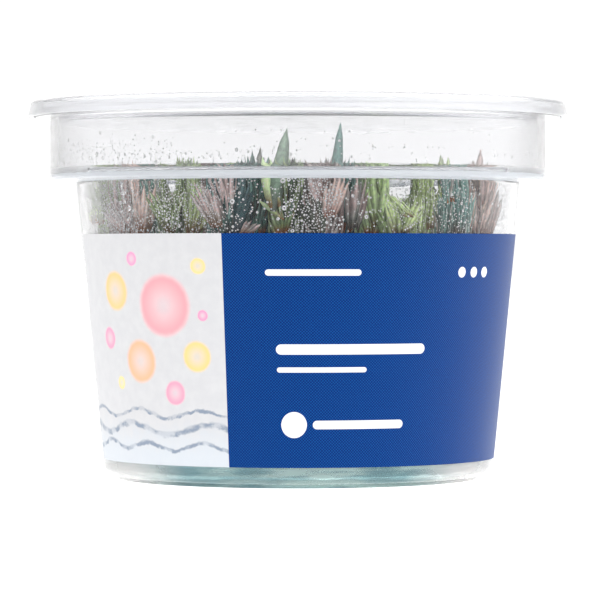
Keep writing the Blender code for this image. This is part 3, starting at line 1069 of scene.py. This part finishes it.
def add_whorl(growth, root, look):
    """Leaves round one joint of a stalk: upright, spread by the look's lean and swayed to one side."""
    draw = growth.draw
    turn = draw.uniform(0, 2 * math.pi)
    sway = heading(draw.uniform(0, 2 * math.pi)) * look["sway"] * draw.random()
    cast = nudged(look["cast"], 0.35, draw)
    for index in range(look["count"]):
        angle = turn + 2 * math.pi * index / look["count"] + draw.uniform(-0.25, 0.25)
        slope = math.radians(look["lean"] * draw.uniform(0.5, 1.3))
        reach = look["length"] * draw.uniform(0.75, 1.12)
        facing = heading(angle)
        tip = root + (facing * math.sin(slope) + sway + Vector((0, 0, math.cos(slope)))) * reach
        tip = growth.held_in(tip, -1.0, 0.4)
        width = look["width"] * draw.uniform(0.5, 0.9)
        rust = look["rust"] * draw.random() if root.z < RUST_Z else 0.0
        bow = draw.uniform(0.01, 0.09)
        growth.add_leaf(root, tip, facing, width, bow, draw.random(), cast, rust)


def add_fan(growth, root, look):
    """A closed fan of broad blades side by side, which turns its face away from the cup's middle."""
    draw = growth.draw
    facing = heading(math.atan2(root.y, root.x) + draw.uniform(-0.6, 0.6))
    along = Vector((-facing.y, facing.x, 0.0))
    lean = math.radians(draw.uniform(-FAN_LEAN, FAN_LEAN))
    tilt = math.radians(draw.uniform(-4, 12))
    opening = math.radians(draw.uniform(14, 38))
    cast = nudged(look["cast"], 0.35, draw)
    tone = draw.uniform(0.15, 0.85)
    blades = draw.randint(4, 7)
    rust = look["rust"] if root.z < RUST_Z else 0.0
    for index in range(blades):
        share = index / (blades - 1) - 0.5
        slope = lean + opening * share
        reach = look["length"] * draw.uniform(0.9, 1.12) * (1 - 0.3 * abs(share))
        rise = Vector((0, 0, math.cos(slope) * math.cos(tilt)))
        foot = root + along * share * FAN_FOOT
        tip = foot + (along * math.sin(slope) + facing * math.sin(tilt) + rise) * reach
        tip = growth.held_in(tip, -0.8, 0.4)
        width = look["width"] * draw.uniform(0.8, 1.25)
        blade_tone = nudged(tone, 0.3, draw)
        bow = draw.uniform(-0.03, 0.07)
        growth.add_leaf(foot, tip, facing, width, bow, blade_tone, cast, rust)


def side_line(stalk, start_z, top_z, angle, spread):
    """The line of a side shoot, which leaves the stalk and then rises beside it."""
    line = []
    for step in range(SIDE_STEPS + 1):
        height = start_z + (top_z - start_z) * step / SIDE_STEPS
        away = spread * math.sin(math.pi / 2 * min(1.0, (height - start_z) / SIDE_BEND))
        line.append(stalk.at(height) + heading(angle) * away)
    return line


def add_shoot(growth, line, thickness):
    """One leafy shoot: its stalk, whorls that grow closer and longer upwards, and a closed brush."""
    draw = growth.draw
    for index, point in enumerate(line):
        if in_window(point):
            line = line[:index]
            break
    start_z, top_z = line[0].z, line[-1].z
    radii = [thickness * (1 - 0.5 * step / len(line)) for step in range(len(line))]
    growth.add_tube(line, radii, growth.STALK)
    rust = 0.9 if draw.random() < 0.45 else 0.0
    look = {"cast": draw.random(), "rust": rust, "width": draw.uniform(0.7, 1.15) * MM}
    height = max(start_z + 4 * MM, LOWEST_WHORL_Z)
    while height < top_z:
        upper = height > UPPER_Z
        count, lengths, leans, sway, rises = UPPER_WHORL if upper else LOWER_WHORL
        look.update(count=count, length=draw.uniform(*lengths) * MM, lean=draw.uniform(*leans), sway=sway)
        rise = draw.uniform(*rises) * MM
        root = on_line(line, height)
        if upper:
            add_fan(growth, root, look)
        add_whorl(growth, root, look)
        height += rise
    look.update(count=5, length=growth.ceiling - top_z, lean=11, sway=0.3)
    add_whorl(growth, line[-1], look)
    add_fan(growth, line[-1], look)


def add_blades(growth, rows):
    """Broad blades at the front of a shoot, up to the tip of its solid."""
    stalk = growth.stalk
    for root_aside, root_z, tip_aside, tip_z, width, tone, cast, rust in rows:
        root = stalk.at(root_z * MM) + Vector((root_aside * MM, -IN_FRONT, 0.0))
        root.x = stalk.top.x + root_aside * MM
        tip = Vector((stalk.top.x + tip_aside * MM, stalk.top.y, min(tip_z * MM, stalk.top_z)))
        growth.add_leaf(root, tip, FRONT, width * MM, 0.04, tone, cast, rust)


def add_front_fan(growth, row):
    """A fan of blades at the front of a shoot, with its face to the front."""
    draw = growth.draw
    aside, root_z, lean, opening, length, width, tone, cast, rust = row
    foot = growth.stalk.at(root_z * MM) + Vector((aside * MM, -IN_FRONT, 0.0))
    for index in range(BLADES_OF_A_FAN):
        share = index / (BLADES_OF_A_FAN - 1) - 0.5
        slope = math.radians(lean + opening * share)
        reach = length * MM * draw.uniform(0.85, 1.05) * (1 - 0.3 * abs(share))
        shift = Vector((share * FRONT_FAN_FOOT, draw.uniform(0.0, 0.4) * MM, draw.uniform(-0.3, 0.3) * MM))
        root = foot + shift
        tip = root + Vector((math.sin(slope), draw.uniform(0.0, 0.12), math.cos(slope))) * reach
        blade_tone = nudged(tone, 0.25, draw)
        blade_cast = nudged(cast, 0.2, draw)
        blade_width = width * MM * draw.uniform(0.7, 1.15)
        bow = draw.uniform(-0.02, 0.08)
        growth.add_leaf(root, tip, FRONT, blade_width, bow, blade_tone, blade_cast, rust)


def add_roots(growth):
    """White threads from the foot into the jelly."""
    draw = growth.draw
    for _ in range(ROOT_THREADS):
        out = heading(draw.uniform(0, 2 * math.pi))
        start = growth.stalk.at(draw.uniform(7.0, 9.5) * MM)
        reach = draw.uniform(2.0, 5.0) * MM
        drop = draw.uniform(2.5, 5.0) * MM
        line = []
        for step in range(ROOT_STEPS + 1):
            share = step / ROOT_STEPS
            sway = Vector((-out.y, out.x, 0.0)) * math.sin(share * 5) * 0.4 * MM
            fall = Vector((0, 0, drop * share**1.5))
            line.append(start + out * reach * math.sin(share * 1.5) + sway - fall)
        radii = [ROOT_RADIUS * (1 - 0.6 * step / ROOT_STEPS) for step in range(ROOT_STEPS + 1)]
        growth.add_tube(line, radii, growth.ROOT)


def add_tip_leaves(growth):
    """Leaves that reach every tip that the shoot's solid reaches."""
    stalk, draw = growth.stalk, growth.draw
    for tip in stalk.tips:
        root = stalk.at(tip.z - LEAF_RUN)
        facing = Vector((tip.x - root.x, tip.y - root.y, 0.0))
        growth.add_leaf(root, tip, facing, TIP_LEAF_WIDTH, 0.05, draw.random(), draw.random(), 0.0)
    root = stalk.at(stalk.top_z - LEAF_RUN)
    growth.add_leaf(root, stalk.top, FRONT, TIP_LEAF_WIDTH, 0.01, draw.random(), 0.5, 0.0)


def make_stem(node_name, finishes, stalk_finish, root_finish):
    """A finer shoot in the place of its solid, reaching the tips that the solid reaches."""
    stalk = Stalk(frame["nodes"][node_name])
    draw = random.Random(node_name)
    growth = Growth(stalk, draw)
    main_top = growth.ceiling - BRUSH_LENGTH
    run = main_top - stalk.foot_z
    line = [stalk.at(stalk.foot_z + run * step / STALK_STEPS) for step in range(STALK_STEPS + 1)]
    add_shoot(growth, line, STALK_RADIUS)
    turn = draw.uniform(0, 2 * math.pi)
    for side in range(SIDE_SHOOTS):
        angle = turn + 2 * math.pi * side / SIDE_SHOOTS + draw.uniform(-0.3, 0.3)
        start_z = draw.uniform(12, 22) * MM
        top_z = main_top - draw.uniform(-0.4, 2.0) * MM
        spread = stalk.room * draw.uniform(0.45, 0.62)
        add_shoot(growth, side_line(stalk, start_z, top_z, angle, spread), SIDE_STALK_RADIUS)
    add_tip_leaves(growth)
    add_blades(growth, BLADES.get(node_name, ()))
    for owner, *row in FANS:
        if owner == node_name:
            add_front_fan(growth, row)
    add_roots(growth)
    slot = next(part["material_slot"] for part in frame["record"]["subparts"] if part["node"] == node_name)
    made = growth.make(node_name + "_growth", [finishes[slot], stalk_finish, root_finish])
    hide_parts(node_name)


def make_stems():
    finishes = {slot: leaf(slot) for slot in LEAF_COLOURS}
    stalk_finish = blotched("stalk", STALK_GREEN, 700.0, 3.0, 0.5)
    root_finish = blotched("root thread", ROOT_WHITE, 700.0, 3.0, 0.6)
    for node_name in sorted(name for name in frame["nodes"] if name.startswith("stem_")):
        make_stem(node_name, finishes, stalk_finish, root_finish)


def dew_at(angle, height):
    """Share of tries that leave a droplet, and the rate of its size, at degrees and millimetres."""
    share, rate = DEW_AROUND
    shifted = angle + BAND_SWAY * math.sin(height * BAND_SWAY_RATE)
    for start, end, band_share, band_rate in DEW_BANDS:
        if start <= shifted < end:
            share, rate = band_share, band_rate
    shelf_foot, shelf_top = DRY_SHELF
    if height > DEW_TOP or shelf_foot < height < shelf_top:
        share = 0.0
    elif height > shelf_top:
        share = COLLAR_DEW if angle < COLLAR_DEW_END and height < COLLAR_DEW_TOP else STRAY_DEW
    elif LABEL_START < math.radians(angle) and height < BEHIND_LABEL_TOP:
        share = LABEL_DEW
    else:
        share *= max(THINNEST_DEW, min(1.0, (height - DEW_FOOT) / THICKENING))
    return share, rate


def scatter_droplets(draw):
    """(angle, height, radius) of each droplet; none touches another."""
    placed = {}
    found = []
    for _ in range(DROPLET_TRIES):
        angle = draw.uniform(-180, 180)
        height = DEW_FOOT + DEW_RISE * math.sqrt(draw.random())
        share, rate = dew_at(angle, height)
        if draw.random() > share:
            continue
        radius = min(LARGEST_DROPLET, LEAST_DROPLET + draw.expovariate(rate))
        along = math.radians(angle) * DEW_RADIUS
        column, row = math.floor(along), math.floor(height)
        near = [
            other
            for across in (-1, 0, 1)
            for up in (-1, 0, 1)
            for other in placed.get((column + across, row + up), [])
        ]
        if any(math.hypot(along - a, height - h) < radius + r + DROPLETS_APART for a, h, r in near):
            continue
        placed.setdefault((column, row), []).append((along, height, radius))
        found.append((math.radians(angle), height * MM, radius * MM))
    return found


def droplet_shape(sides, rings):
    """Unit cap: rings, given as (radius, height), from the middle of a flat foot up a flattened dome."""
    points = [point for radius, height in rings for point in circle(radius, height, sides)]
    return np.array(points + [(0.0, 0.0, DOME_HEIGHT)]), closed_faces(sides, len(rings))


def make_condensation():
    """Droplets on the inside of the wall and the collar, thickest at the left and in the middle."""
    large = droplet_shape(DROPLET_SIDES, ((0.36, 0.0), (0.8, 0.0), (1.0, 0.0), (0.88, 0.32), (0.52, 0.56)))
    small = droplet_shape(FINE_SIDES, ((1.0, 0.0),))
    # A ring of faces in the foot of a large droplet is painted white, a painted glint in place of the light
    # that it gathers
    glints = [0] + [1] * DROPLET_SIDES + [0] * (len(large[1]) - 1 - DROPLET_SIDES)
    points = []
    faces = []
    kinds = []
    for angle, height, radius in scatter_droplets(random.Random(5)):
        collar = height > SHELF_TOP_Z
        wall = COLLAR_INSIDE if collar else inner_radius(height)
        slope = 0.0 if collar else WALL_FLARE
        along = np.array((math.cos(angle), math.sin(angle), 0.0))
        out = np.array((math.sin(angle), -math.cos(angle), 0.0))
        inward = -out + np.array((0.0, 0.0, slope))
        inward /= np.linalg.norm(inward)
        up = np.cross(inward, along)
        fine = radius < FINE_DROPLET * MM
        unit, template = small if fine else large
        foot = out * (wall - DROPLET_SINK * MM) + np.array((0.0, 0.0, height))
        shape = foot + radius * (unit[:, :1] * along + unit[:, 1:2] * up + unit[:, 2:] * inward)
        first = len(points)
        points += [tuple(point) for point in shape]
        faces += moved(template, first)
        # Fine droplets are painted white all over, as painted glints
        kinds += [1] * len(template) if fine else glints
    finishes = [water("condensed water", 1.0), water("water painted white as glints", 0.0)]
    made = new_piece("condensation", points, faces, finishes, 50)
    made.data.polygons.foreach_set("material_index", kinds)


def floor_finish():
    """Pale, with a painted glow: it glows most under and beside the cup, painted light that fills the cup's
    shadow, and faintly far off.
    """
    made, nodes = new_material("pale floor with painted glow")
    soft = nodes.noise(nodes.object_place(), 3.0)
    length = nodes.add("ShaderNodeVectorMath", {0: nodes.object_place()}, operation="LENGTH")
    away = length.outputs["Value"]
    # Painted glow: strongest under and beside the cup, where it fills the cup's shadow
    beside = nodes.span(away, 50 * MM, 200 * MM, 0.55, 0.12)
    under = nodes.span(away, 30 * MM, 45 * MM, 0.6, 0.0)
    nodes.surface({
        "Base Color": nodes.mix(soft, (0.68, 0.68, 0.68), (0.70, 0.70, 0.70)),
        "Roughness": 0.8,
        "Specular IOR Level": 0.1,
        "Emission Color": (1.0, 1.0, 1.0),
        "Emission Strength": nodes.plus(beside, under),
    })
    return made


def make_floor():
    """A pale floor that runs far past the view."""
    mesh = bpy.data.meshes.new("floor")
    signs = ((-1, -1), (1, -1), (1, 1), (-1, 1))
    mesh.from_pydata([(x * FLOOR_HALF, y * FLOOR_HALF, 0.0) for x, y in signs], [], [(0, 1, 2, 3)])
    mesh.materials.append(floor_finish())
    floor = bpy.data.objects.new("floor", mesh)
    bpy.context.scene.collection.objects.link(floor)


def make_light():
    """Soft white: full behind and overhead, half at the sides, dim in front, and a glow at each side."""
    world = bpy.data.worlds.new("studio")
    bpy.context.scene.world = world
    world.use_nodes = True
    nodes = Nodes(world.node_tree)
    ray = nodes.add("ShaderNodeTexCoord").outputs["Generated"]
    back = nodes.part(ray, "Y")
    level = nodes.span(back, -0.1, 0.3, 0.26, 0.65)
    level = nodes.plus(level, nodes.span(back, 0.75, 0.97, 0.0, 0.43))
    strength = nodes.span(nodes.part(ray, "Z"), 0.15, 0.4, level, 1.6)
    for place, brightness in GLOWS:
        inputs = {0: ray, 1: Vector(place).normalized()}
        towards = nodes.add("ShaderNodeVectorMath", inputs, operation="DOT_PRODUCT")
        glow = nodes.span(towards.outputs["Value"], 0.5, 1.0, 0.0, brightness)
        strength = nodes.plus(strength, glow)
    nodes.fill(world.node_tree.nodes["Background"], {"Color": (1.0, 1.0, 1.0), "Strength": strength})


def make_camera():
    lens = bpy.data.cameras.new("camera")
    lens.lens = LENS_MM
    lens.sensor_width = SENSOR_MM
    lens.clip_start = 0.01
    lens.clip_end = 30.0
    camera = bpy.data.objects.new("camera", lens)
    camera.location = CAMERA_AT
    camera.rotation_euler = (CAMERA_TO - CAMERA_AT).to_track_quat("-Z", "Y").to_euler()
    bpy.context.scene.collection.objects.link(camera)
    bpy.context.scene.camera = camera


def set_rendering():
    """Plain colours, and enough bounces to see through several clear walls."""
    scene = bpy.context.scene
    scene.view_settings.view_transform = "Standard"
    scene.cycles.max_bounces = 24
    scene.cycles.transmission_bounces = 24
    scene.cycles.diffuse_bounces = 4
    scene.cycles.glossy_bounces = 8


make_cup()
make_lid()
make_jelly()
make_label()
make_stems()
make_condensation()
make_floor()
make_light()
make_camera()
set_rendering()
